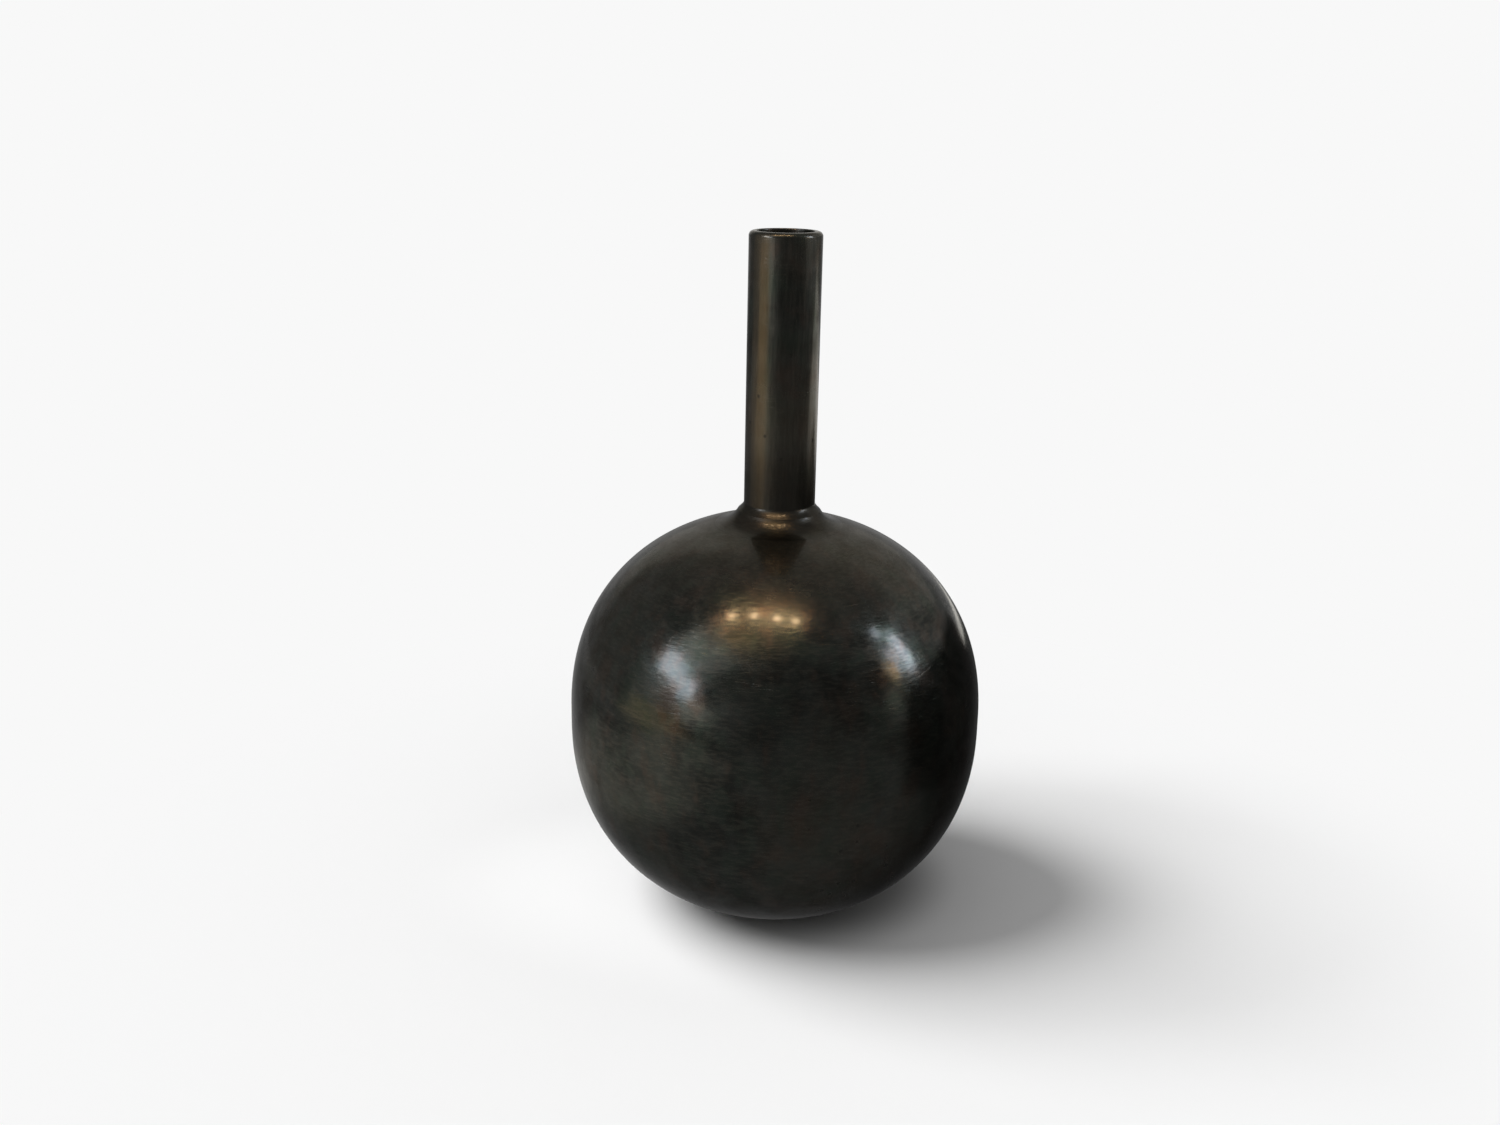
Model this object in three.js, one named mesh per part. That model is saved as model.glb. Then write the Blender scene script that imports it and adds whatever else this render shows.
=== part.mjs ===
// Ball vase of dark patinated brass: a ball spun in two halves that lap and are soldered at the
// equator, a tube neck let into the crown through a coved collar, and a turned ring at the mouth.
// Units are millimetres, +Z is up, the axis of the vase is the Z axis and it stands on z = 0.
import * as THREE from "three";

// Ball: each half is a spun curve between a short straight band and its pole
const ballRadius = 105;
const upperRise = 99.9;
const upperFullness = 2.18;
const lowerRise = 100.6;
const lowerFullness = 2.182;
const bandHeight = 6.9;
const shellWall = 1.5;

// Equator joint: the lower half's lip slides into the upper half and a groove takes the solder
const seamWidth = 1.6;
const lapGap = 0.3;
const lapRise = 5;
const joggleHeight = 3;

// Foot: the lower half is pressed flat, a plate closes its centring hole, and a pad covers it
const footRadius = 40;
const footBend = 8;
const centreHoleRadius = 6;
const plateInset = 2;
const plateThickness = 3;
const padInset = 1.5;
const padThickness = 2;

// Neck: a straight tube that passes through the crown and ends in the turned mouth ring
const neckRadius = 17.75;
const neckHeight = 140.5;
const tubeWall = 1.5;
const tubeInsertion = 8;

// Neck joint: the collar's cove rises from the crown to a low ridge, and the solder fillet goes on
// from the ridge to the tube. A lean is counted from upright, down and outwards.
const solderGap = 0.3;
const collarSeatGap = 0.3;
const collarReach = 14.2;
const ridgeReach = 2.95;
const ridgeHeight = 5;
const coveLean = THREE.MathUtils.degToRad(30);
const filletHeight = 3.9;
const filletLean = THREE.MathUtils.degToRad(58);
const featherEdge = 0.3;

// Mouth ring: its spigot fits inside the tube and its shoulder sits on the tube's end
const mouthRingHeight = 5;
const spigotLength = 7;
const spigotGap = 0.3;
const spigotWall = 2.1;
const lipRound = 3.2;
const mouthRound = 0.6;

// Fineness of the turned and spun forms
const sidesAround = 60;
const stepsPerHalf = 12;
const stepsPerBend = 3;
const stepsPerSeat = 5;
const stepsPerCove = 7;
const stepsPerLip = 6;
const stepsPerLap = 2;

// The two halves, as the ball's curve reads them
const upperHalf = { rise: upperRise, fullness: upperFullness };
const lowerHalf = { rise: lowerRise, fullness: lowerFullness };

// The direction square to a half's skin. Angle 0 is the edge of the straight band and a right
// angle is the pole.
function ballNormal(half, angle) {
  const across = Math.cos(angle) ** (2 / half.fullness);
  const along = Math.sin(angle) ** (2 / half.fullness);
  return new THREE.Vector2(
    across ** (half.fullness - 1) / ballRadius,
    along ** (half.fullness - 1) / half.rise,
  ).normalize();
}

// A point of a half's section, as distance from the axis and distance from the straight band.
// The outset moves it off the skin.
function ballPoint(half, angle, outset = 0) {
  const across = Math.cos(angle) ** (2 / half.fullness);
  const along = Math.sin(angle) ** (2 / half.fullness);
  const onSkin = new THREE.Vector2(ballRadius * across, half.rise * along);
  return onSkin.addScaledVector(ballNormal(half, angle), outset);
}

// The last angle from the band to the pole up to which a test on the curve holds
function lastAngleWhere(holds) {
  const halvings = 40;
  let low = 0;
  let high = Math.PI / 2;
  for (let halving = 0; halving < halvings; halving += 1) {
    const middle = (low + high) / 2;
    if (holds(middle)) {
      low = middle;
    } else {
      high = middle;
    }
  }
  return low;
}

// Evenly spaced values from one end to the other, both ends included and exact, because the ball's
// curve has no point past its band
function spaced(from, to, steps) {
  return Array.from({ length: steps + 1 }, (_, step) =>
    THREE.MathUtils.lerp(from, to, step / steps),
  );
}

// Points of a circle about a centre; angle 0 points away from the axis and a right angle up
function arcAbout(centre, radius, fromAngle, toAngle, steps) {
  return spaced(fromAngle, toAngle, steps).map(
    (angle) =>
      new THREE.Vector2(centre.x + radius * Math.cos(angle), centre.y + radius * Math.sin(angle)),
  );
}

// A hollow curve of a section, from an upper point to a lower one, along a given lean at each end
function coveBetween(upper, upperLean, lower, lowerLean) {
  const leaving = new THREE.Vector2(Math.sin(upperLean), -Math.cos(upperLean));
  const arriving = new THREE.Vector2(Math.sin(lowerLean), -Math.cos(lowerLean));
  const span = lower.clone().sub(upper);
  const reach = span.cross(arriving) / leaving.cross(arriving);
  const corner = upper.clone().addScaledVector(leaving, reach);
  return new THREE.QuadraticBezierCurve(upper, corner, lower).getPoints(stepsPerCove);
}

// A closed section, listed outer side upwards and inner side downwards, revolved about the Z axis
function turned(name, material, section) {
  const geometry = new THREE.LatheGeometry([...section, section[0].clone()], sidesAround);
  geometry.rotateX(Math.PI / 2);
  const mesh = new THREE.Mesh(geometry, material);
  mesh.name = name;
  return mesh;
}

// A flat round piece between two heights, whose section starts and ends on the axis
function disc(name, material, radius, bottom, top) {
  const section = [
    new THREE.Vector2(0, bottom),
    new THREE.Vector2(radius, bottom),
    new THREE.Vector2(radius, top),
    new THREE.Vector2(0, top),
  ];
  const geometry = new THREE.LatheGeometry(section, sidesAround);
  geometry.rotateX(Math.PI / 2);
  const mesh = new THREE.Mesh(geometry, material);
  mesh.name = name;
  return mesh;
}

// Finishes
const patinatedBrass = new THREE.MeshStandardMaterial({
  name: "patinated_brass",
  color: 0x4c473f,
  metalness: 1,
  roughness: 0.3,
});
const solder = new THREE.MeshStandardMaterial({
  name: "patinated_solder",
  color: 0x57524a,
  metalness: 1,
  roughness: 0.35,
});
const plateSteel = new THREE.MeshStandardMaterial({
  name: "plate_steel",
  color: 0x6f6f6c,
  metalness: 1,
  roughness: 0.5,
});
const padRubber = new THREE.MeshStandardMaterial({
  name: "pad_rubber",
  color: 0x1c1c1b,
  metalness: 0,
  roughness: 0.9,
});

// Heights of the ball: the bend at the foot settles how high the straight band stands
const footAngle = lastAngleWhere((angle) => ballPoint(lowerHalf, angle).x > footRadius);
const footOnSkin = ballPoint(lowerHalf, footAngle);
const footBendCentre = ballPoint(lowerHalf, footAngle, -footBend);
const footSlope = Math.asin((footOnSkin.x - footBendCentre.x) / footBend);
const footFlatRadius = footBendCentre.x;
const bandBottom = padThickness + footBendCentre.y + footBend;
const bandTop = bandBottom + bandHeight;
const seamMiddle = (bandBottom + bandTop) / 2;
const shoulderHeight = seamMiddle - seamWidth / 2;
const skirtHeight = seamMiddle + seamWidth / 2;
const crownHeight = bandTop + upperRise;

// Heights and radii of the neck
const neckHoleRadius = neckRadius + solderGap;
const tubeBoreRadius = neckRadius - tubeWall;
const mouthHeight = crownHeight + neckHeight;
const tubeTop = mouthHeight - mouthRingHeight;
const holeAngle = lastAngleWhere((angle) => ballPoint(upperHalf, angle).x > neckHoleRadius);
const holeAngleInside = lastAngleWhere(
  (angle) => ballPoint(upperHalf, angle, -shellWall).x > neckHoleRadius,
);
const skinAtNeck = bandTop + ballPoint(upperHalf, holeAngle).y;
const skinInsideAtNeck = bandTop + ballPoint(upperHalf, holeAngleInside, -shellWall).y;
const ridgeTop = skinAtNeck + ridgeHeight;
const ridgeRadius = neckRadius + ridgeReach;

// Section of the upper half, placed above the straight band
function onUpperHalf(angle, outset) {
  const point = ballPoint(upperHalf, angle, outset);
  return new THREE.Vector2(point.x, bandTop + point.y);
}

// Section of the lower half, placed below the straight band
function onLowerHalf(angle, outset) {
  const point = ballPoint(lowerHalf, angle, outset);
  return new THREE.Vector2(point.x, bandBottom - point.y);
}

// Upper half of the ball, with a straight skirt below and the hole for the neck in its crown
function upperShell() {
  const skinInside = ballRadius - shellWall;
  const outside = spaced(0, holeAngle, stepsPerHalf).map((angle) => onUpperHalf(angle, 0));
  const inside = spaced(holeAngleInside, 0, stepsPerHalf).map((angle) =>
    onUpperHalf(angle, -shellWall),
  );
  return turned("upper_shell", patinatedBrass, [
    new THREE.Vector2(ballRadius, skirtHeight),
    ...outside,
    ...inside,
    new THREE.Vector2(skinInside, skirtHeight),
  ]);
}

// Lower half of the ball: flat foot, bend, spun skin, and the lip that laps inside the upper half
function lowerShell() {
  const lipOutset = -(shellWall + lapGap);
  const lipInset = lipOutset - shellWall;
  const lipAngle = lastAngleWhere(
    (angle) => ballPoint(upperHalf, angle, lipOutset).y < lapRise,
  );
  const bendCentre = new THREE.Vector2(footBendCentre.x, bandBottom - footBendCentre.y);
  const bendFrom = -Math.PI / 2;
  const bendTo = bendFrom + footSlope;
  const innerBend = footBend - shellWall;
  const footTop = padThickness + shellWall;
  const outsideBend = arcAbout(bendCentre, footBend, bendFrom, bendTo, stepsPerBend);
  const insideBend = arcAbout(bendCentre, innerBend, bendTo, bendFrom, stepsPerBend);
  const outside = spaced(footAngle, 0, stepsPerHalf).map((angle) => onLowerHalf(angle, 0));
  const inside = spaced(0, footAngle, stepsPerHalf).map((angle) => onLowerHalf(angle, -shellWall));
  const lipOutside = spaced(0, lipAngle, stepsPerLap).map((angle) => onUpperHalf(angle, lipOutset));
  const lipInside = spaced(lipAngle, 0, stepsPerLap).map((angle) => onUpperHalf(angle, lipInset));
  return turned("lower_shell", patinatedBrass, [
    new THREE.Vector2(centreHoleRadius, padThickness),
    ...outsideBend,
    ...outside.slice(1),
    new THREE.Vector2(ballRadius, shoulderHeight),
    new THREE.Vector2(ballRadius + lipOutset, shoulderHeight),
    ...lipOutside,
    ...lipInside,
    new THREE.Vector2(ballRadius + lipInset, shoulderHeight),
    new THREE.Vector2(ballRadius - shellWall, shoulderHeight - joggleHeight),
    ...inside,
    ...insideBend.slice(1),
    new THREE.Vector2(centreHoleRadius, footTop),
  ]);
}

// Solder run into the groove between the two halves and dressed flush with the ball
function equatorSolder() {
  return turned("equator_solder", solder, [
    new THREE.Vector2(ballRadius, shoulderHeight),
    new THREE.Vector2(ballRadius, skirtHeight),
    new THREE.Vector2(ballRadius - shellWall, skirtHeight),
    new THREE.Vector2(ballRadius - shellWall, shoulderHeight),
  ]);
}

// Coved ring that seats on the crown round the tube and runs out along the crown's slope
function neckCollar() {
  const coveFoot = neckRadius + collarReach;
  const footEdgeAngle = lastAngleWhere(
    (angle) => ballPoint(upperHalf, angle, collarSeatGap).x > coveFoot,
  );
  const boreAngle = lastAngleWhere(
    (angle) => ballPoint(upperHalf, angle, collarSeatGap).x > neckHoleRadius,
  );
  const seat = spaced(boreAngle, footEdgeAngle, stepsPerSeat).map((angle) =>
    onUpperHalf(angle, collarSeatGap),
  );
  const ridge = new THREE.Vector2(ridgeRadius, ridgeTop);
  const coveEnd = onUpperHalf(footEdgeAngle, collarSeatGap + featherEdge);
  const crownLean = ballNormal(upperHalf, footEdgeAngle).angle();
  const cove = coveBetween(ridge, coveLean, coveEnd, crownLean);
  return turned("neck_collar", patinatedBrass, [
    ...seat,
    ...cove.reverse(),
    new THREE.Vector2(neckHoleRadius, ridgeTop),
  ]);
}

// Fillet of solder that stands on the collar and runs from its ridge up the tube
function neckSolder() {
  const filletTop = ridgeTop + filletHeight;
  const ridge = new THREE.Vector2(ridgeRadius, ridgeTop);
  const filletHead = new THREE.Vector2(neckHoleRadius + featherEdge, filletTop);
  const cove = coveBetween(filletHead, 0, ridge, filletLean);
  return turned("neck_solder", solder, [
    new THREE.Vector2(neckHoleRadius, ridgeTop),
    ...cove.reverse(),
    new THREE.Vector2(neckHoleRadius, filletTop),
  ]);
}

// Straight tube from inside the ball up to the mouth ring
function neckTube() {
  const tubeBottom = skinInsideAtNeck - tubeInsertion;
  return turned("neck_tube", patinatedBrass, [
    new THREE.Vector2(neckRadius, tubeBottom),
    new THREE.Vector2(neckRadius, tubeTop),
    new THREE.Vector2(tubeBoreRadius, tubeTop),
    new THREE.Vector2(tubeBoreRadius, tubeBottom),
  ]);
}

// Turned ring with a round lip, whose spigot goes down inside the tube
function mouthRing() {
  const spigotRadius = tubeBoreRadius - spigotGap;
  const mouthRadius = spigotRadius - spigotWall;
  const lipThickness = neckRadius - mouthRadius;
  const lipCorner = Math.min(lipRound, lipThickness - mouthRound, mouthRingHeight);
  const spigotBottom = tubeTop - spigotLength;
  const outerCentre = new THREE.Vector2(neckRadius - lipCorner, mouthHeight - lipCorner);
  const innerCentre = new THREE.Vector2(mouthRadius + mouthRound, mouthHeight - mouthRound);
  const outerCorner = arcAbout(outerCentre, lipCorner, 0, Math.PI / 2, stepsPerLip);
  const innerCorner = arcAbout(innerCentre, mouthRound, Math.PI / 2, Math.PI, stepsPerBend);
  return turned("mouth_ring", patinatedBrass, [
    new THREE.Vector2(spigotRadius, spigotBottom),
    new THREE.Vector2(spigotRadius, tubeTop),
    new THREE.Vector2(neckRadius, tubeTop),
    ...outerCorner,
    ...innerCorner,
    new THREE.Vector2(mouthRadius, spigotBottom),
  ]);
}

// Plate soldered inside the foot, over the hole that centred the blank on its mandrel
function basePlate() {
  const bottom = padThickness + shellWall;
  return disc(
    "base_plate",
    plateSteel,
    footFlatRadius - plateInset,
    bottom,
    bottom + plateThickness,
  );
}

// Pad glued under the foot, on which the vase stands
function footPad() {
  return disc("foot_pad", padRubber, footFlatRadius - padInset, 0, padThickness);
}

const ballVase = new THREE.Group();
ballVase.name = "ball_vase";
ballVase.add(
  footPad(),
  lowerShell(),
  basePlate(),
  equatorSolder(),
  upperShell(),
  neckCollar(),
  neckTube(),
  neckSolder(),
  mouthRing(),
);

export default ballVase;
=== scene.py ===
# Ball vase of dark patinated brass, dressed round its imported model. It follows the vase as it is
# put together: the lower half of the ball and what closes it, the upper half, the neck and its
# joint, the mouth, the pad underneath, and last the studio and the camera.
import math

import bpy
from mathutils import Matrix, Vector


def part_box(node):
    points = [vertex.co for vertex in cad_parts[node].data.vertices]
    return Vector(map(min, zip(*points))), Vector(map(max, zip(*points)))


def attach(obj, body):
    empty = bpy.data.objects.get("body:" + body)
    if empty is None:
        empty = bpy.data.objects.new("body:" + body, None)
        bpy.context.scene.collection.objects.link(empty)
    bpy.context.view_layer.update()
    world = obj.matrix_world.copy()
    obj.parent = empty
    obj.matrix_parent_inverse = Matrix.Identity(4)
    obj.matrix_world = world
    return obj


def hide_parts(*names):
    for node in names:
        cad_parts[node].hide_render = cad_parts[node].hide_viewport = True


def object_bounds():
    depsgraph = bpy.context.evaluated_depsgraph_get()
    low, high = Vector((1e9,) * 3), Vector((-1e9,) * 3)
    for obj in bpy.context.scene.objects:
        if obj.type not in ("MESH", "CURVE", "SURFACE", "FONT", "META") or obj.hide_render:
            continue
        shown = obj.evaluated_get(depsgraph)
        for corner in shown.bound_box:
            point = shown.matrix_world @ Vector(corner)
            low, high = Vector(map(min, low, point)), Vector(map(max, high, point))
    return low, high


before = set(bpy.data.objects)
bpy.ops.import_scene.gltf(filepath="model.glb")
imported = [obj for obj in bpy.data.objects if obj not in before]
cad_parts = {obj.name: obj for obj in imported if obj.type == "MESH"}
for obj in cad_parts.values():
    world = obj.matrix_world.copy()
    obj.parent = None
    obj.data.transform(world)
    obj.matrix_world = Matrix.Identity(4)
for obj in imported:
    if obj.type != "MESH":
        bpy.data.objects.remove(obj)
cad_low, cad_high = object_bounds()


# Lower half of the ball. Brass sheet spun over a former, pressed flat for the foot, with a lip at
# its top edge that laps inside the upper half. It is dressed, patinated dark and waxed.
MM = 0.001
SHEET_WALL = 1.5 * MM
BAND_HEIGHT = 6.9 * MM
LOWER_RISE = 100.6 * MM
LOWER_FULLNESS = 2.182
UPPER_RISE = 99.9 * MM
UPPER_FULLNESS = 2.18
LAP_GAP = 0.3 * MM
LAP_RISE = 5 * MM
JOGGLE_HEIGHT = 3 * MM
FOOT_RADIUS = 40 * MM
FOOT_BEND = 8 * MM
CENTRE_HOLE_RADIUS = 6 * MM
BALL_SIDES = 288
BALL_STEPS = 80
HIDDEN_STEPS = 16
BEND_STEPS = 8
ROOT_HEIGHT = 208 * MM
# Bearing of the painted highlight strip down the neck's front left.
HIGHLIGHT_STRIP_BEARING = math.radians(-42)

ball_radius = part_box("lower_shell")[1].x
foot_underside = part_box("lower_shell")[0].z
shoulder_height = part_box("equator_solder")[0].z
skirt_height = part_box("equator_solder")[1].z
band_bottom = (shoulder_height + skirt_height - BAND_HEIGHT) / 2
band_top = band_bottom + BAND_HEIGHT


class Wire:
    """An output socket that arithmetic works on: each operator adds its Math node."""

    def __init__(self, bench, socket):
        self.bench = bench
        self.socket = socket

    def outlet(self, name):
        """Another output of the same node."""
        return Wire(self.bench, self.socket.node.outputs[name])

    def worked(self, operation, *others):
        sockets = dict(enumerate((self, *others)))
        return self.bench.node("ShaderNodeMath", {"operation": operation}, sockets)

    def turned_round(self, operation, first):
        return self.bench.node("ShaderNodeMath", {"operation": operation}, {0: first, 1: self})

    def __add__(self, other):
        return self.worked("ADD", other)

    def __radd__(self, other):
        return self.turned_round("ADD", other)

    def __sub__(self, other):
        return self.worked("SUBTRACT", other)

    def __rsub__(self, other):
        return self.turned_round("SUBTRACT", other)

    def __mul__(self, other):
        return self.worked("MULTIPLY", other)

    def __rmul__(self, other):
        return self.turned_round("MULTIPLY", other)

    def eased(self, low, high):
        """0 up to low, 1 from high on, and a smooth rise between them."""
        sockets = {"Value": self, "From Min": low, "From Max": high}
        return self.bench.node("ShaderNodeMapRange", {"interpolation_type": "SMOOTHSTEP"}, sockets)


class Bench:
    """A node tree, with the one way to lay a node on it and wire it up."""

    def __init__(self, tree):
        self.tree = tree
        self.tree.nodes.clear()

    def node(self, kind, settings=None, sockets=None):
        made = self.tree.nodes.new(kind)
        for name, value in (settings or {}).items():
            setattr(made, name, value)
        for key, value in (sockets or {}).items():
            if isinstance(value, Wire):
                self.tree.links.new(value.socket, made.inputs[key])
            else:
                made.inputs[key].default_value = value
        return Wire(self, made.outputs[0] if made.outputs else None)

    def blend(self, factor, first, second):
        """A colour between two, as the factor goes from 0 to 1."""
        mixed = self.node("ShaderNodeMix", {"data_type": "RGBA"}, {0: factor, 6: first, 7: second})
        return mixed.outlet(2)

    def noise(self, place, scale, detail=3.0, roughness=0.5):
        sockets = {"Vector": place, "Scale": scale, "Detail": detail, "Roughness": roughness}
        return self.node("ShaderNodeTexNoise", None, sockets)

    def mapped(self, place, scale, rotation=(0, 0, 0)):
        return self.node("ShaderNodeMapping", None, {0: place, "Rotation": rotation, "Scale": scale})


def lathe_tree():
    """Turns a section round the Z axis. The section's points come in order, outer side upwards."""
    tree = bpy.data.node_groups.new("lathe", "GeometryNodeTree")
    bench = Bench(tree)
    inputs = [
        ("Section", "NodeSocketGeometry"),
        ("Closed", "NodeSocketInt"),
        ("Sides", "NodeSocketInt"),
        ("Sharp angle", "NodeSocketFloat"),
        ("Finish", "NodeSocketMaterial"),
    ]
    for name, kind in inputs:
        tree.interface.new_socket(name, in_out="INPUT", socket_type=kind)
    tree.interface.new_socket("Piece", in_out="OUTPUT", socket_type="NodeSocketGeometry")
    section = bench.node("NodeGroupInput")
    closed = section.outlet("Closed")
    sides = section.outlet("Sides")
    points = bench.node("GeometryNodeAttributeDomainSize", {"component": "MESH"}, {0: section})
    spans = points + closed - 1
    size = {"Size X": 1.0, "Size Y": 1.0, "Vertices X": spans + 1, "Vertices Y": sides + 1}
    cloth = bench.node("GeometryNodeMeshGrid", None, size)
    spot = bench.node("GeometryNodeInputPosition")
    on_cloth = bench.node("ShaderNodeSeparateXYZ", None, {0: spot})
    around = (0.5 - on_cloth.outlet("Y")) * math.tau
    number = ((on_cloth + 0.5) * spans).worked("ROUND").worked("MODULO", points)
    taken = bench.node(
        "GeometryNodeSampleIndex",
        {"data_type": "FLOAT_VECTOR", "domain": "POINT"},
        {"Geometry": section, "Value": spot, "Index": number},
    )
    radius = bench.node("ShaderNodeSeparateXYZ", None, {0: taken})
    across = radius * around.worked("COSINE")
    aside = radius * around.worked("SINE")
    place = bench.node("ShaderNodeCombineXYZ", None, {0: across, 1: aside, 2: radius.outlet("Z")})
    wrapped = bench.node("GeometryNodeSetPosition", None, {"Geometry": cloth, "Position": place})
    merged = bench.node("GeometryNodeMergeByDistance", None, {"Geometry": wrapped, "Distance": 1e-6})
    smooth = bench.node("GeometryNodeSetShadeSmooth", {"domain": "FACE"}, {0: merged, 2: True})
    bend = bench.node("GeometryNodeInputMeshEdgeAngle")
    corner = bend.worked("GREATER_THAN", section.outlet("Sharp angle"))
    edged = bench.node(
        "GeometryNodeSetShadeSmooth", {"domain": "EDGE"}, {0: smooth, 1: corner, 2: False}
    )
    whole = bench.node("GeometryNodeRealizeInstances", None, {0: edged})
    finish = {"Geometry": whole, "Material": section.outlet("Finish")}
    finished = bench.node("GeometryNodeSetMaterial", None, finish)
    bench.node("NodeGroupOutput", None, {0: finished})
    return tree


lathe = lathe_tree()


def turned(name, section, finish, sides, closed=True):
    """A piece turned from (radius, height) points; an open section ends on the axis."""
    outline = bpy.data.meshes.new(name + "_section")
    outline.from_pydata([(radius, 0, height) for radius, height in section], [], [])
    blank = bpy.data.objects.new(name + "_blank", outline)
    bpy.context.scene.collection.objects.link(blank)
    turning = blank.modifiers.new("lathe", "NODES")
    turning.node_group = lathe
    settings = {
        "Closed": int(closed),
        "Sides": sides,
        "Sharp angle": math.radians(32),
        "Finish": finish,
    }
    for item in lathe.interface.items_tree:
        if item.name in settings:
            turning[item.identifier] = settings[item.name]
    settled = bpy.context.evaluated_depsgraph_get()
    mesh = bpy.data.meshes.new_from_object(blank.evaluated_get(settled), depsgraph=settled)
    mesh.name = name
    bpy.data.objects.remove(blank)
    piece = bpy.data.objects.new(name, mesh)
    bpy.context.scene.collection.objects.link(piece)
    return piece


def spaced(first, last, steps):
    """Evenly spaced values, both ends included."""
    return [first + (last - first) * step / steps for step in range(steps + 1)]


def arc(centre, radial_half, axial_half, first, last, steps):
    """Points of an ellipse; 0 degrees points away from the axis and 90 degrees points up."""
    angles = [math.radians(degrees) for degrees in spaced(first, last, steps)]
    across = [centre[0] + radial_half * math.cos(angle) for angle in angles]
    up = [centre[1] + axial_half * math.sin(angle) for angle in angles]
    return list(zip(across, up))


def ball_point(rise, fullness, angle, outset=0.0):
    """A point of the spun curve: its radius, and its distance from the straight band."""
    across = math.cos(angle) ** (2 / fullness)
    along = math.sin(angle) ** (2 / fullness)
    outward = across ** (fullness - 1) / ball_radius
    axial = along ** (fullness - 1) / rise
    length = math.hypot(outward, axial)
    radius = ball_radius * across + outset * outward / length
    return radius, rise * along + outset * axial / length


def lower_point(angle, outset=0.0):
    radius, fall = ball_point(LOWER_RISE, LOWER_FULLNESS, angle, outset)
    return radius, band_bottom - fall


def upper_point(angle, outset=0.0):
    radius, climb = ball_point(UPPER_RISE, UPPER_FULLNESS, angle, outset)
    return radius, band_top + climb


def last_angle_where(holds):
    """The last angle from the band towards the pole at which a test on the curve holds."""
    low, high = 0.0, math.pi / 2
    for _ in range(40):
        middle = (low + high) / 2
        if holds(middle):
            low = middle
        else:
            high = middle
    return low


def strokes(bench, place, girth, around, along, detail=2.0):
    """Noise that lies as tool marks, as long round the axis and as wide along it as is given."""
    level = bench.node("ShaderNodeVectorMath", {"operation": "MULTIPLY"}, {0: place, 1: (1, 1, 0)})
    away = bench.node("ShaderNodeVectorMath", {"operation": "LENGTH"}, {0: level}).outlet("Value")
    bearing = bench.node("ShaderNodeVectorMath", {"operation": "NORMALIZE"}, {0: level})
    side = bench.node("ShaderNodeSeparateXYZ", None, {0: bearing})
    height = bench.node("ShaderNodeSeparateXYZ", None, {0: place}).outlet("Z")
    turns = girth / around
    lines = 1 / along
    sockets = {0: side * turns, 1: side.outlet("Y") * turns, 2: height * lines}
    wrapped = bench.node("ShaderNodeCombineXYZ", None, sockets)
    sockets = {"Vector": wrapped, "W": away * lines, "Scale": 1.0, "Detail": detail}
    return bench.node("ShaderNodeTexNoise", {"noise_dimensions": "4D"}, sockets)


def painted_highlight_strip(bench, place, girth):
    """A painted highlight strip: 1 along a line on the neck's front left, where it stands in for a
    reflected light, 0 away from it.
    """
    towards = (math.sin(HIGHLIGHT_STRIP_BEARING) / girth, -math.cos(HIGHLIGHT_STRIP_BEARING) / girth, 0)
    sockets = {0: place, 1: towards}
    faced = bench.node("ShaderNodeVectorMath", {"operation": "DOT_PRODUCT"}, sockets)
    return faced.outlet("Value").eased(0.945, 0.99)


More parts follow.
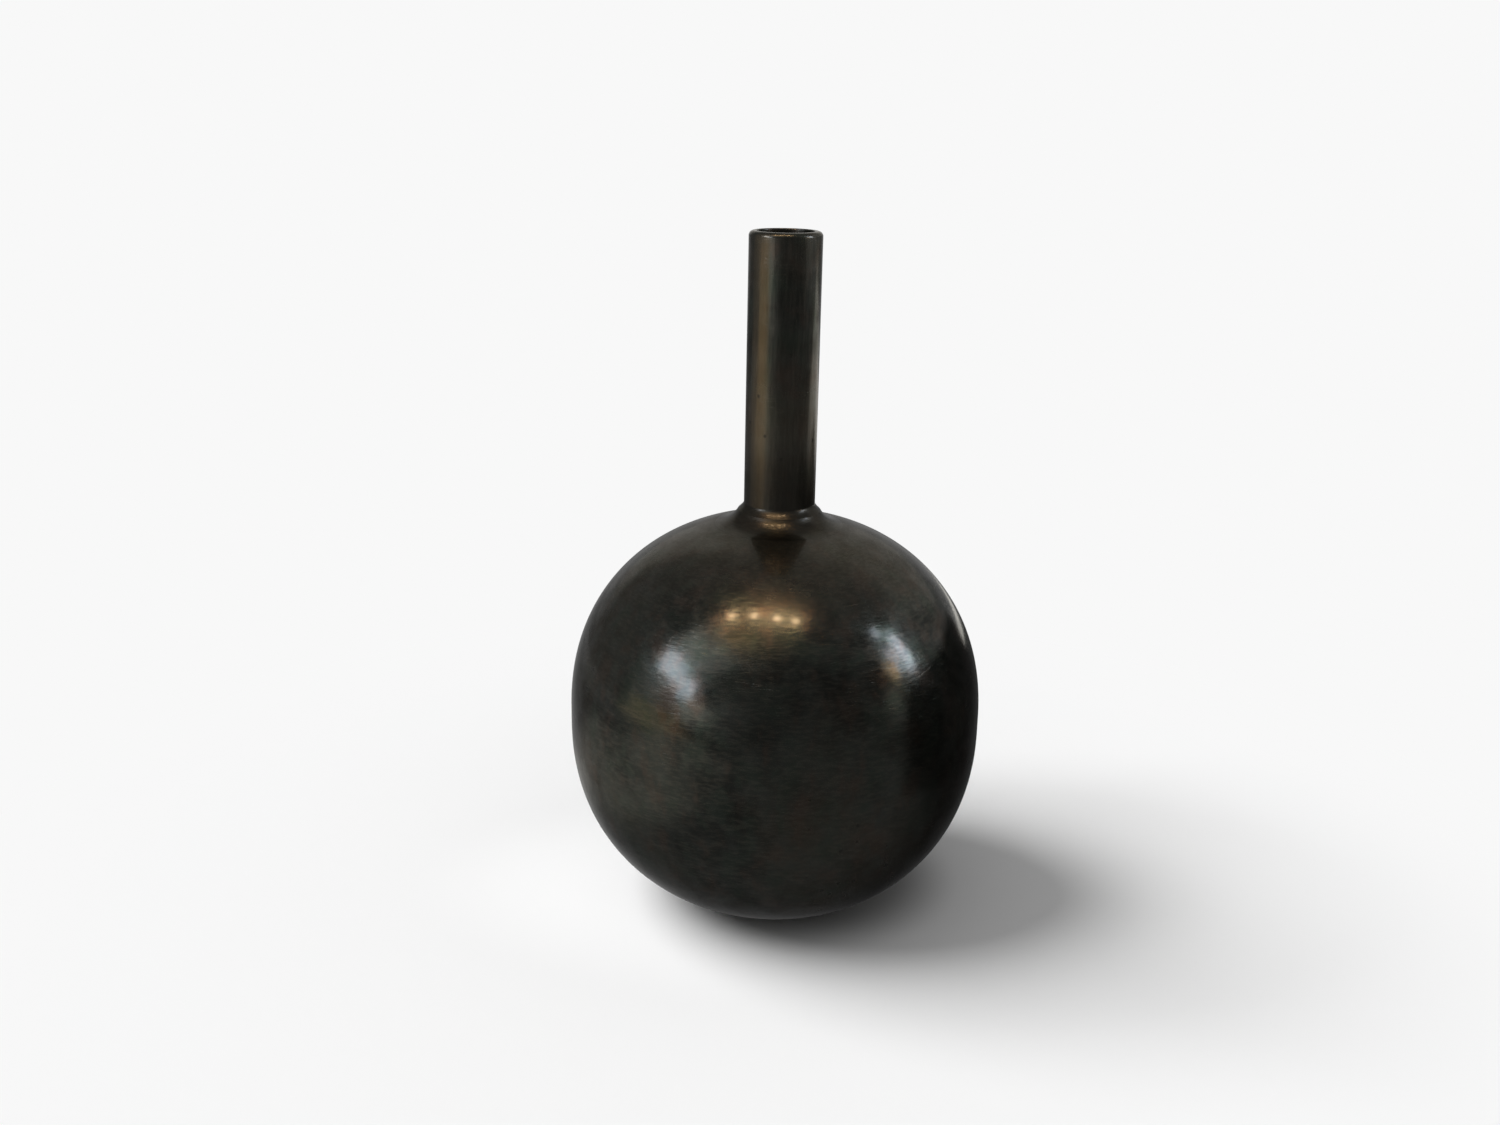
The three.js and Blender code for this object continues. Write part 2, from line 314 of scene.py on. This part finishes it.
def patina(name, girth, around, along, roughness=0.2, dents=0.1, soot_shine=0.0, highlight_strip_share=0.0):
    """Brown-black patina on brass: clouded, tool-marked, pitted and waxed, browner and more matt on
    the crown round the neck, where the brown is a painted sheen, and black with the torch's soot at
    the neck's root. On the neck it can carry a painted highlight strip down the front left. Girth is
    the piece's radius, and its tool marks are as long round it and as wide along it as is given."""
    black = (0.0095, 0.0102, 0.0088, 1)
    olive = (0.0275, 0.0302, 0.0255, 1)
    brown = (0.036, 0.0305, 0.0225, 1)
    copper = (0.044, 0.029, 0.0215, 1)
    green = (0.0205, 0.029, 0.0215, 1)
    worn = (0.07, 0.064, 0.05, 1)
    painted_highlight_colour = (0.088, 0.067, 0.043, 1)
    pit = (0.005, 0.0048, 0.0042, 1)
    material = bpy.data.materials.new(name)
    material.use_nodes = True
    bench = Bench(material.node_tree)
    place = bench.node("ShaderNodeTexCoord").outlet("Object")
    sockets = {0: place, 1: (0, 0, ROOT_HEIGHT)}
    away = bench.node("ShaderNodeVectorMath", {"operation": "DISTANCE"}, sockets).outlet("Value")
    # Painted sheen: within about 45 to 95 mm of the neck's root the crown is blended browner, which
    # stands in for a warm sheen, and made more matt.
    painted_crown_sheen = 1 - away.eased(45 * MM, 95 * MM)
    soot = (1 - away.eased(20 * MM, 44 * MM)) * 0.5
    cloud = bench.noise(place, 24, 4, 0.6).eased(0.3, 0.7)
    drift = bench.noise(place, 9, 2, 0.5).eased(0.4, 0.65)
    hue = bench.noise(bench.mapped(place, (1.6, 1.6, 1)), 46, 3, 0.65)
    blot = bench.noise(place, 90, 4, 0.65)
    mark = strokes(bench, place, girth, around, along)
    line = strokes(bench, place, girth, 12 * around, 0.5 * along, 1.0)
    dent = bench.noise(place, 38, 1, 0.4)
    cell = bench.node("ShaderNodeTexVoronoi", None, {"Vector": place, "Scale": 260.0})
    lot = bench.node("ShaderNodeSeparateColor", None, {0: cell.outlet("Color")})
    pits = (1 - cell.eased(0.1, 0.35)) * lot.worked("GREATER_THAN", 0.88) * drift.eased(0.3, 0.9)
    scratches = None
    for turn in (0.35, 1.25, 2.3):
        laid = bench.mapped(place, (1, 1, 14), (0.4 * turn, turn, 0.2))
        cut = 1 - (bench.noise(laid, 38, 1, 0.3) - 0.5).worked("ABSOLUTE").eased(0.0, 0.01)
        scratched = cut * bench.noise(place, 60 + 10 * turn, 1, 0.4).eased(0.58, 0.7)
        scratches = scratched if scratches is None else scratches.worked("MAXIMUM", scratched)
    colour = bench.blend(cloud * 0.9, black, olive)
    colour = bench.blend(drift * 0.6, colour, brown)
    colour = bench.blend(blot.eased(0.42, 0.7) * 0.5, colour, olive)
    colour = bench.blend(hue.eased(0.5, 0.68) * 0.45, colour, copper)
    colour = bench.blend((1 - hue.eased(0.34, 0.5)) * 0.45, colour, green)
    # Painted sheen on the crown round the neck.
    colour = bench.blend(painted_crown_sheen * 0.5, colour, brown)
    colour = bench.blend(mark.eased(0.4, 0.7) * 0.22, colour, worn)
    # Painted highlight: a light brass strip down the neck's front left, standing in for a reflected
    # light.
    if highlight_strip_share:
        painted_strip = painted_highlight_strip(bench, place, girth) * (0.55 + mark * 0.7)
        colour = bench.blend(painted_strip * highlight_strip_share, colour, painted_highlight_colour)
    colour = bench.blend(scratches * 0.3, colour, worn)
    colour = bench.blend(pits * 0.7, colour, pit)
    colour = bench.blend(soot, colour, pit)
    shine = roughness + (cloud - 0.5) * 0.05 + (blot - 0.5) * 0.16 + pits * 0.2
    shine = shine + painted_crown_sheen * 0.12 + soot * soot_shine
    relief = dent * dents + mark * 0.07 + line * 0.015 - pits * 0.05 - scratches * 0.015
    bumped = bench.node("ShaderNodeBump", None, {"Strength": 1.0, "Distance": MM, "Height": relief})
    metal = bench.node(
        "ShaderNodeBsdfPrincipled",
        None,
        {
            "Base Color": colour,
            "Metallic": 0.96,
            "Roughness": shine,
            "Specular Tint": (0.45, 0.45, 0.45, 1),
            "Coat Weight": (0.2 + (blot - 0.5) * 0.4) * (1 - soot),
            "Coat Roughness": 0.1,
            "Coat IOR": 1.45,
            "Normal": bumped,
        },
    )
    bench.node("ShaderNodeOutputMaterial", None, {"Surface": metal})
    return material


ball_patina = patina("ball_patina", ball_radius, 5 * MM, 1.3 * MM, soot_shine=0.3)

foot_angle = last_angle_where(
    lambda angle: ball_point(LOWER_RISE, LOWER_FULLNESS, angle)[0] > FOOT_RADIUS
)
bend_centre = lower_point(foot_angle, -FOOT_BEND)
foot_flat_radius = bend_centre[0]
foot_slope = math.degrees(math.asin((FOOT_RADIUS - foot_flat_radius) / FOOT_BEND))
inner_bend = FOOT_BEND - SHEET_WALL
lip_outset = -(SHEET_WALL + LAP_GAP)
lip_inset = lip_outset - SHEET_WALL
lip_angle = last_angle_where(
    lambda angle: ball_point(UPPER_RISE, UPPER_FULLNESS, angle, lip_outset)[1] < LAP_RISE
)
lower_section = [
    (CENTRE_HOLE_RADIUS, foot_underside),
    *arc(bend_centre, FOOT_BEND, FOOT_BEND, -90, foot_slope - 90, BEND_STEPS),
    *[lower_point(angle) for angle in spaced(foot_angle, 0, BALL_STEPS)][1:],
    (ball_radius, shoulder_height),
    (ball_radius + lip_outset, shoulder_height),
    *[upper_point(angle, lip_outset) for angle in spaced(0, lip_angle, 3)],
    *[upper_point(angle, lip_inset) for angle in spaced(lip_angle, 0, 3)],
    (ball_radius + lip_inset, shoulder_height),
    (ball_radius - SHEET_WALL, shoulder_height - JOGGLE_HEIGHT),
    *[lower_point(angle, -SHEET_WALL) for angle in spaced(0, foot_angle, HIDDEN_STEPS)],
    *arc(bend_centre, inner_bend, inner_bend, foot_slope - 90, -90, BEND_STEPS)[1:],
    (CENTRE_HOLE_RADIUS, foot_underside + SHEET_WALL),
]
lower_half = turned("spun_lower_half", lower_section, ball_patina, BALL_SIDES)
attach(lower_half, "root")
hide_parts("lower_shell")


# Plate inside the foot. A disc of cold-rolled steel, soldered over the hole that centred the
# sheet on the spinning former, which also weights the vase.
PLATE_CHAMFER = 0.6 * MM
DISC_SIDES = 144


def rolled_steel():
    """Bare cold-rolled steel: fine rolling lines, and brown stains of flux."""
    material = bpy.data.materials.new("rolled_steel")
    material.use_nodes = True
    bench = Bench(material.node_tree)
    place = bench.node("ShaderNodeTexCoord").outlet("Object")
    line = bench.noise(bench.mapped(place, (12, 1, 1)), 120, 4, 0.6)
    stain = bench.noise(place, 60, 4, 0.6).eased(0.45, 0.75)
    steel = bench.blend(line, (0.3, 0.3, 0.29, 1), (0.45, 0.45, 0.43, 1))
    sockets = {
        "Base Color": bench.blend(stain * 0.5, steel, (0.16, 0.13, 0.1, 1)),
        "Metallic": 1.0,
        "Roughness": 0.38 + line * 0.15 + stain * 0.15,
        "Normal": bench.node("ShaderNodeBump", None, {"Distance": 0.03 * MM, "Height": line}),
    }
    metal = bench.node("ShaderNodeBsdfPrincipled", None, sockets)
    bench.node("ShaderNodeOutputMaterial", None, {"Surface": metal})
    return material


plate_low, plate_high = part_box("base_plate")
plate_section = [
    (0, plate_low.z),
    (plate_high.x, plate_low.z),
    (plate_high.x, plate_high.z - PLATE_CHAMFER),
    (plate_high.x - PLATE_CHAMFER, plate_high.z),
    (0, plate_high.z),
]
plate = turned("foot_closing_plate", plate_section, rolled_steel(), DISC_SIDES, closed=False)
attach(plate, "root")
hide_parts("base_plate")


# Solder in the groove at the equator. It is run in flush, dressed with the ball and coloured with
# it, so the joint can't be told from the sheet on either side.
groove_floor = ball_radius - SHEET_WALL
equator_section = [
    (ball_radius, shoulder_height),
    (ball_radius, skirt_height),
    (groove_floor, skirt_height),
    (groove_floor, shoulder_height),
]
equator_seam = turned("equator_seam", equator_section, ball_patina, BALL_SIDES)
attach(equator_seam, "root")
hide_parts("equator_solder")


# Upper half of the ball. The same brass sheet, spun a little shallower, with a straight skirt
# over the lower half's lip and a hole cut in the crown for the neck.
SOLDER_GAP = 0.3 * MM

neck_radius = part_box("neck_tube")[1].x
neck_hole_radius = neck_radius + SOLDER_GAP
hole_angle = last_angle_where(lambda angle: upper_point(angle)[0] > neck_hole_radius)
hole_angle_inside = last_angle_where(
    lambda angle: upper_point(angle, -SHEET_WALL)[0] > neck_hole_radius
)
upper_section = [
    (ball_radius, skirt_height),
    *[upper_point(angle) for angle in spaced(0, hole_angle, BALL_STEPS)],
    *[upper_point(angle, -SHEET_WALL) for angle in spaced(hole_angle_inside, 0, HIDDEN_STEPS)],
    (ball_radius - SHEET_WALL, skirt_height),
]
upper_half = turned("spun_upper_half", upper_section, ball_patina, BALL_SIDES)
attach(upper_half, "root")
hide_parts("upper_shell")


# Collar at the root of the neck. Turned from brass bar and filed to follow the crown, with a cove
# that runs out along the ball's slope; its top edge is the low ridge round the neck's root.
NECK_SIDES = 192
RIDGE_REACH = 2.95 * MM
COVE_LEAN = 30
SEAT_CLEARANCE = 0.02 * MM
COVE_STEPS = 24


def cove(upper, upper_lean, lower, lower_lean):
    """A hollow curve listed upwards; the degrees at its ends count from upright, down and out."""
    upper, lower = Vector(upper), Vector(lower)
    leaving = Vector((math.sin(math.radians(upper_lean)), -math.cos(math.radians(upper_lean))))
    arriving = Vector((math.sin(math.radians(lower_lean)), -math.cos(math.radians(lower_lean))))
    corner = upper + leaving * ((lower - upper).cross(arriving) / leaving.cross(arriving))
    shares = spaced(1, 0, COVE_STEPS)
    return [
        tuple(upper * (1 - t) ** 2 + corner * (2 * t * (1 - t)) + lower * t ** 2) for t in shares
    ]


root_patina = patina("root_patina", neck_radius, 4 * MM, MM, 0.18, 0.05)
cove_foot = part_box("neck_collar")[1].x
ridge = (neck_radius + RIDGE_REACH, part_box("neck_collar")[1].z)
seat_angle = last_angle_where(lambda angle: upper_point(angle, SEAT_CLEARANCE)[0] > cove_foot)
bore_angle = last_angle_where(
    lambda angle: upper_point(angle, SEAT_CLEARANCE)[0] > neck_hole_radius
)
foot_point = upper_point(seat_angle, SEAT_CLEARANCE)
inner_point = upper_point(seat_angle + 0.01, SEAT_CLEARANCE)
crown_fall = math.atan2(inner_point[1] - foot_point[1], foot_point[0] - inner_point[0])
crown_lean = 90 - math.degrees(crown_fall)
collar_section = [
    *[upper_point(angle, SEAT_CLEARANCE) for angle in spaced(bore_angle, seat_angle, BEND_STEPS)],
    *cove(ridge, COVE_LEAN, foot_point, crown_lean)[1:],
    (neck_hole_radius, ridge[1]),
]
collar = turned("coved_collar", collar_section, root_patina, NECK_SIDES)
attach(collar, "root")
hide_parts("neck_collar")


# Neck tube. Drawn brass tube, cut square at both ends, let through the crown and the collar, and
# closed above by the mouth ring.
TUBE_WALL = 1.5 * MM
TUBE_STEPS = 24

tube_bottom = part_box("neck_tube")[0].z
tube_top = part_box("neck_tube")[1].z
bore_radius = neck_radius - TUBE_WALL
tube_section = [
    *[(neck_radius, height) for height in spaced(tube_bottom, tube_top, TUBE_STEPS)],
    *[(bore_radius, height) for height in spaced(tube_top, tube_bottom, TUBE_STEPS)],
]
# The neck's finish carries a painted highlight strip down its front left.
tube_patina = patina("tube_patina", neck_radius, 1.2 * MM, 12 * MM, 0.2, 0.05, highlight_strip_share=0.45)
tube = turned("drawn_neck", tube_section, tube_patina, NECK_SIDES)
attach(tube, "root")
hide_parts("neck_tube")


# Solder fillet between the collar and the tube. It is run all round, scraped to an even cove from
# the ridge of the collar up to the tube, where it dies out, and coloured with the rest.
FILLET_LEAN = 49

fillet_head = (neck_radius + SEAT_CLEARANCE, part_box("neck_solder")[1].z)
fillet_section = [(fillet_head[0], ridge[1]), *cove(fillet_head, 0, ridge, FILLET_LEAN)]
fillet = turned("neck_fillet", fillet_section, root_patina, NECK_SIDES)
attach(fillet, "root")
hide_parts("neck_solder")


# Mouth ring. Turned from brass bar: a spigot that fits down inside the tube, a shoulder that sits
# on its end, and a round lip over the edge.
SPIGOT_GAP = 0.3 * MM
LIP_ROUND = 2.5 * MM
MOUTH_ROUND = 0.6 * MM
SPIGOT_WALL = 2.1 * MM
LIP_STEPS = 14

mouth_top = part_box("mouth_ring")[1].z
spigot_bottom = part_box("mouth_ring")[0].z
spigot_radius = bore_radius - SPIGOT_GAP
mouth_radius = spigot_radius - SPIGOT_WALL
lip_centre = (neck_radius - LIP_ROUND, mouth_top - LIP_ROUND)
mouth_centre = (mouth_radius + MOUTH_ROUND, mouth_top - MOUTH_ROUND)
mouth_section = [
    (spigot_radius, spigot_bottom),
    (spigot_radius, tube_top),
    (neck_radius, tube_top),
    *arc(lip_centre, LIP_ROUND, LIP_ROUND, 0, 90, LIP_STEPS),
    *arc(mouth_centre, MOUTH_ROUND, MOUTH_ROUND, 90, 180, LIP_STEPS // 2),
    (mouth_radius, spigot_bottom),
]
# The mouth's finish carries the same painted highlight strip as the neck.
mouth_patina = patina("mouth_patina", neck_radius, 1.2 * MM, 12 * MM, 0.25, 0.05, highlight_strip_share=0.45)
mouth = turned("turned_mouth", mouth_section, mouth_patina, NECK_SIDES)
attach(mouth, "root")
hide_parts("mouth_ring")


# Pad under the foot. A disc of black rubber sheet, glued on so that the brass doesn't scratch
# what the vase stands on; its faces carry the fine cloth mark of the sheet.
PAD_CHAMFER = 0.3 * MM


def black_rubber():
    """Black rubber sheet: a fine woven mark in both directions, and grey dust in patches."""
    material = bpy.data.materials.new("black_rubber")
    material.use_nodes = True
    bench = Bench(material.node_tree)
    place = bench.node("ShaderNodeTexCoord").outlet("Object")
    spot = bench.node("ShaderNodeSeparateXYZ", None, {0: place})
    thread = math.tau / (0.8 * MM)
    weave = (spot * thread).worked("SINE") * (spot.outlet("Y") * thread).worked("SINE")
    dust = bench.noise(place, 90, 4, 0.6).eased(0.5, 0.8)
    sockets = {
        "Base Color": bench.blend(dust * 0.5, (0.012, 0.012, 0.012, 1), (0.06, 0.058, 0.055, 1)),
        "Roughness": 0.75 + dust * 0.15,
        "Normal": bench.node("ShaderNodeBump", None, {"Distance": 0.03 * MM, "Height": weave}),
    }
    rubber = bench.node("ShaderNodeBsdfPrincipled", None, sockets)
    bench.node("ShaderNodeOutputMaterial", None, {"Surface": rubber})
    return material


pad_low, pad_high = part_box("foot_pad")
pad_section = [
    (0, pad_low.z),
    (pad_high.x - PAD_CHAMFER, pad_low.z),
    (pad_high.x, pad_low.z + PAD_CHAMFER),
    (pad_high.x, pad_high.z - PAD_CHAMFER),
    (pad_high.x - PAD_CHAMFER, pad_high.z),
    (0, pad_high.z),
]
pad = turned("rubber_pad", pad_section, black_rubber(), DISC_SIDES, closed=False)
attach(pad, "root")
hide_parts("foot_pad")


# Floor. A white sheet that takes the vase's shadow, with painted light that makes it paler round the
# vase and lifts the shadow, and a painted shadow that makes it greyer under the vase. Past the
# shadow it is an even white, which the world carries on behind it.
WHITE = 0.939
FLOOR_HALF = 6.0
FLOOR_COLOUR = (0.8, 0.8, 0.8, 1)
SHADOW_REACH = (0.22, 0.45)
# Painted light: the sheet is paler in a patch round and right of the vase, which lifts its shadow.
PAINTED_LIGHT_COLOUR = (0.93, 0.93, 0.93, 1)
PAINTED_LIGHT_SHIFT = (-0.035, 0, 0)
PAINTED_LIGHT_SQUEEZE = (0.5, 1, 1)
PAINTED_LIGHT_REACH = (0.065, 0.135)
# Painted shadow: the sheet is greyer right under the vase.
PAINTED_SHADOW_COLOUR = (0.42, 0.42, 0.42, 1)
PAINTED_SHADOW_MIDDLE = (0.02, 0.01, 0)
PAINTED_SHADOW_REACH = (0.045, 0.085)


def seen(bench):
    """1 for what the camera, a reflection or a clear thing shows, 0 for what lights the vase."""
    path = bench.node("ShaderNodeLightPath")
    mirrored = path.outlet("Is Glossy Ray").worked("MAXIMUM", path.outlet("Is Transmission Ray"))
    return path.outlet("Is Camera Ray").worked("MAXIMUM", mirrored)


def plane(name, half_width, half_depth, material):
    corners = [(-1, -1), (1, -1), (1, 1), (-1, 1)]
    mesh = bpy.data.meshes.new(name)
    mesh.from_pydata([(x * half_width, y * half_depth, 0) for x, y in corners], [], [(0, 1, 2, 3)])
    mesh.materials.append(material)
    made = bpy.data.objects.new(name, mesh)
    bpy.context.scene.collection.objects.link(made)
    return made


def white_floor():
    material = bpy.data.materials.new("white_floor")
    material.use_nodes = True
    bench = Bench(material.node_tree)
    place = bench.node("ShaderNodeTexCoord").outlet("Object")
    away = bench.node("ShaderNodeVectorMath", {"operation": "LENGTH"}, {0: place}).outlet("Value")
    beyond = away.eased(*SHADOW_REACH) * seen(bench)
    drawn = {0: place, "Location": PAINTED_LIGHT_SHIFT, "Scale": PAINTED_LIGHT_SQUEEZE}
    squeezed = bench.node("ShaderNodeMapping", None, drawn)
    painted_light = bench.node("ShaderNodeVectorMath", {"operation": "LENGTH"}, {0: squeezed})
    sockets = {0: place, 1: PAINTED_SHADOW_MIDDLE}
    painted_shadow = bench.node("ShaderNodeVectorMath", {"operation": "DISTANCE"}, sockets)
    # Painted light: a paler sheet round the vase, lifting the shadow.
    tone = bench.blend(painted_light.outlet("Value").eased(*PAINTED_LIGHT_REACH), PAINTED_LIGHT_COLOUR, FLOOR_COLOUR)
    # Painted shadow: a greyer sheet right under the vase.
    tone = bench.blend(painted_shadow.outlet("Value").eased(*PAINTED_SHADOW_REACH), PAINTED_SHADOW_COLOUR, tone)
    sheet = bench.node("ShaderNodeBsdfDiffuse", None, {"Color": tone})
    white = bench.node("ShaderNodeEmission", None, {"Color": (1, 1, 1, 1), "Strength": WHITE})
    mixed = bench.node("ShaderNodeMixShader", None, {0: beyond, 1: sheet, 2: white})
    bench.node("ShaderNodeOutputMaterial", None, {"Surface": mixed})
    return material


floor = plane("floor", FLOOR_HALF, FLOOR_HALF, white_floor())
floor.location.z = cad_low.z - SEAT_CLEARANCE


# World, key light and fill light. The world is white where it is seen and dimmer where it lights.
# The key light is broad and comes from the upper left, so the shadow falls soft to the right, and
# a broader, weaker fill light from the front keeps the shadow pale.
WORLD_STRENGTH = 0.24
KEY_STRENGTH = 3.7
KEY_HEIGHT = math.radians(45.5)
KEY_BEARING = math.radians(1.5)
KEY_BREADTH = math.radians(47)
FILL_STRENGTH = 0.36
FILL_BREADTH = math.radians(70)
TOWARDS_FILL = Vector((0.1, -0.6, 0.8))

world = bpy.data.worlds.new("white_studio")
bpy.context.scene.world = world
world.use_nodes = True
bench = Bench(world.node_tree)
strength = WORLD_STRENGTH + seen(bench) * (WHITE - WORLD_STRENGTH)
backdrop = bench.node("ShaderNodeBackground", None, {"Color": (1, 1, 1, 1), "Strength": strength})
bench.node("ShaderNodeOutputWorld", None, {"Surface": backdrop})


def soft_light(name, strength, breadth, towards):
    """A light as broad as its angle, which falls from one side and has no reflection."""
    lamp = bpy.data.lights.new(name, "SUN")
    lamp.energy = strength
    lamp.angle = breadth
    made = bpy.data.objects.new(name, lamp)
    bpy.context.scene.collection.objects.link(made)
    made.rotation_euler = towards.to_track_quat("Z", "Y").to_euler()
    made.visible_glossy = False


key_side = math.cos(KEY_HEIGHT)
towards_key = Vector(
    (-key_side * math.cos(KEY_BEARING), key_side * math.sin(KEY_BEARING), math.sin(KEY_HEIGHT))
)
soft_light("key_light", KEY_STRENGTH, KEY_BREADTH, towards_key)
soft_light("fill_light", FILL_STRENGTH, FILL_BREADTH, TOWARDS_FILL)


# Studio cards that only the metal reflects: soft boxes to the left and the right, a row of warm
# spots overhead, a black flag close at the right, and bright and dark cards laid on the floor; the
# dark card right under the vase is a painted contact shadow for the reflections. A hung card has a
# bearing from the vase, counted from the camera's side and positive to the right, and a height.
BALL_MIDDLE = Vector((0, 0, 0.1))


def card(name, middle, towards_vase, half_width, half_depth, colour, strength, soft):
    """A glowing or dim card, seen by reflections alone; soft is the share of it that fades out."""
    material = bpy.data.materials.new(name)
    material.use_nodes = True
    bench = Bench(material.node_tree)
    place = bench.node("ShaderNodeTexCoord").outlet("Object")
    spot = bench.node("ShaderNodeSeparateXYZ", None, {0: place})
    across = (spot * (1 / half_width)).worked("ABSOLUTE")
    up = (spot.outlet("Y") * (1 / half_depth)).worked("ABSOLUTE")
    mask = (1 - across.eased(1 - soft, 1)) * (1 - up.eased(1 - soft, 1))
    glow = bench.node("ShaderNodeEmission", None, {"Color": (*colour, 1), "Strength": strength})
    clear = bench.node("ShaderNodeBsdfTransparent")
    mixed = bench.node("ShaderNodeMixShader", None, {0: mask, 1: clear, 2: glow})
    bench.node("ShaderNodeOutputMaterial", None, {"Surface": mixed})
    made = plane(name, half_width, half_depth, material)
    made.location = middle
    made.rotation_euler = towards_vase.to_track_quat("Z", "Y").to_euler()
    made.visible_camera = False
    made.visible_diffuse = False
    made.visible_transmission = False
    made.visible_shadow = False
    return made


def hung(name, azimuth, height, span, distance, colour, strength, soft):
    """A card hung facing the vase; span is its width and height in degrees."""
    across = math.radians(azimuth)
    up = math.radians(height)
    away = Vector(
        (math.sin(across) * math.cos(up), -math.cos(across) * math.cos(up), math.sin(up))
    )
    half_width = distance * math.tan(math.radians(span[0] / 2))
    half_depth = distance * math.tan(math.radians(span[1] / 2))
    middle = BALL_MIDDLE + away * distance
    return card(name, middle, away, half_width, half_depth, colour, strength, soft)


def laid(name, layer, middle, half_width, half_depth, turn, colour, strength, soft):
    """A card laid on the floor; a higher layer covers a lower one."""
    place = Vector((*middle, 0.3 * MM * layer))
    made = card(name, place, Vector((0, 0, 1)), half_width, half_depth, colour, strength, soft)
    made.rotation_euler.z += math.radians(turn)
    return made


COOL = (0.86, 0.95, 1.14)
WARM = (1.0, 0.68, 0.4)
PALE = (1.0, 0.97, 0.9)
AMBER = (1.0, 0.83, 0.58)
PLAIN = (1, 1, 1)

hung("front_card", 14, 16, (118, 66), 1.6, PLAIN, 0.3, 0.35)
hung("front_left_card", -32, 6, (44, 42), 1.5, PLAIN, 0.75, 0.9)
hung("left_card", -112, 30, (66, 84), 1.5, PLAIN, 0.48, 0.3)
hung("back_card", 174, 32, (124, 76), 1.8, PALE, 1.15, 0.8)
hung("back_card_low", 172, 4, (140, 26), 1.9, PLAIN, 0.62, 0.3)
hung("top_card", 0, 90, (100, 100), 2.6, PLAIN, 0.45, 0.2)
hung("top_glow", -14, 73, (44, 40), 2.25, WARM, 3.3, 1)
hung("top_glow_low", -26, 58, (54, 32), 2.3, AMBER, 2.1, 1)
hung("top_glow_left", -44, 59, (42, 36), 2.2, WARM, 3.7, 1)
for number, (azimuth, height) in enumerate([(-56.2, 65.6), (-33.2, 71.2), (0, 72), (23.2, 69)]):
    hung(f"top_spot_{number + 1}", azimuth, height, (4.6, 4.6), 2.1, WARM, 95, 0.6)
hung("left_glow", -58, 46, (60, 50), 2.3, PLAIN, 3, 1)
hung("left_softbox", -68.5, 27, (13, 16), 2.05, COOL, 13, 0.4)
hung("left_softbox_side", -60, 24, (11, 16), 2.1, COOL, 12, 0.5)
hung("left_softbox_low", -51.5, 18, (13, 15), 2.0, COOL, 14, 0.5)
hung("right_softbox", 85.5, 27, (9, 27), 2.0, COOL, 20, 0.6)
hung("right_softbox_side", 78, 26, (10, 20), 2.05, COOL, 9, 0.6)
hung("right_softbox_top", 79, 42, (7, 8), 1.95, COOL, 12, 0.6)
hung("right_warm_strip", 72.5, 22, (7, 11), 1.95, WARM, 10, 0.4)
hung("black_flag", 92, -1, (70, 47), 0.225, PLAIN, 0.07, 0.22)
hung("left_softbox_spill", -44, 8, (26, 20), 1.45, PALE, 3.0, 0.8)
hung("right_softbox_spill", 68, 12, (24, 18), 1.45, PALE, 1.4, 0.9)
hung("left_panel", -66, 0.36, (42, 8.2), 1.6, AMBER, 1.5, 0.3)
laid("floor_card", 1, (0, 0), 3.0, 3.0, 0, PLAIN, 0.36, 0.2)
laid("floor_bounce", 2, (-0.32, -0.2), 0.42, 0.5, 0, PLAIN, 0.46, 0.5)
laid("floor_bounce_left", 3, (-1.6, 0.35), 1.2, 0.6, 0, PLAIN, 0.72, 0.3)
laid("floor_bounce_near", 4, (-0.31, -0.07), 0.2, 0.25, 0, PALE, 1.1, 0.5)
laid("floor_bounce_slant", 5, (-0.6, -0.5), 0.56, 0.28, 38, PALE, 1.15, 0.5)
laid("floor_bounce_far", 6, (-1.18, -0.5), 0.3, 0.58, 23, AMBER, 1.9, 0.2)
laid("floor_bounce_right", 3, (1.65, 1.2), 1.25, 0.8, 36, PALE, 2.9, 0.25)
laid("floor_grey_right", 4, (1.1, -0.3), 0.8, 0.32, 0, PLAIN, 0.24, 0.5)
laid("floor_black", 5, (0.52, 0.36), 0.6, 0.5, 0, PLAIN, 0.08, 0.25)
# Painted shadow: a dark card under the ball, so that its lowest part reflects a contact shadow.
laid("painted_contact_shadow_card", 7, (0.015, 0), 0.085, 0.075, 0, PLAIN, 0.05, 0.6)


# Camera. It stands a little above the vase's mouth and looks down at it, tipped by about a degree.
EYE = Vector((-0.01411, -0.72193, 0.39878))
LOOKING_DOWN = math.radians(16.885)
TIPPED = math.radians(1.1)

camera_data = bpy.data.cameras.new("camera")
camera_data.sensor_width = 36
camera_data.lens = 35.77
camera = bpy.data.objects.new("camera", camera_data)
bpy.context.scene.collection.objects.link(camera)
raised = Matrix.Rotation(math.pi / 2 - LOOKING_DOWN, 4, "X")
camera.matrix_world = Matrix.Translation(EYE) @ raised @ Matrix.Rotation(TIPPED, 4, "Z")
bpy.context.scene.camera = camera
bpy.context.scene.view_settings.view_transform = "Standard"
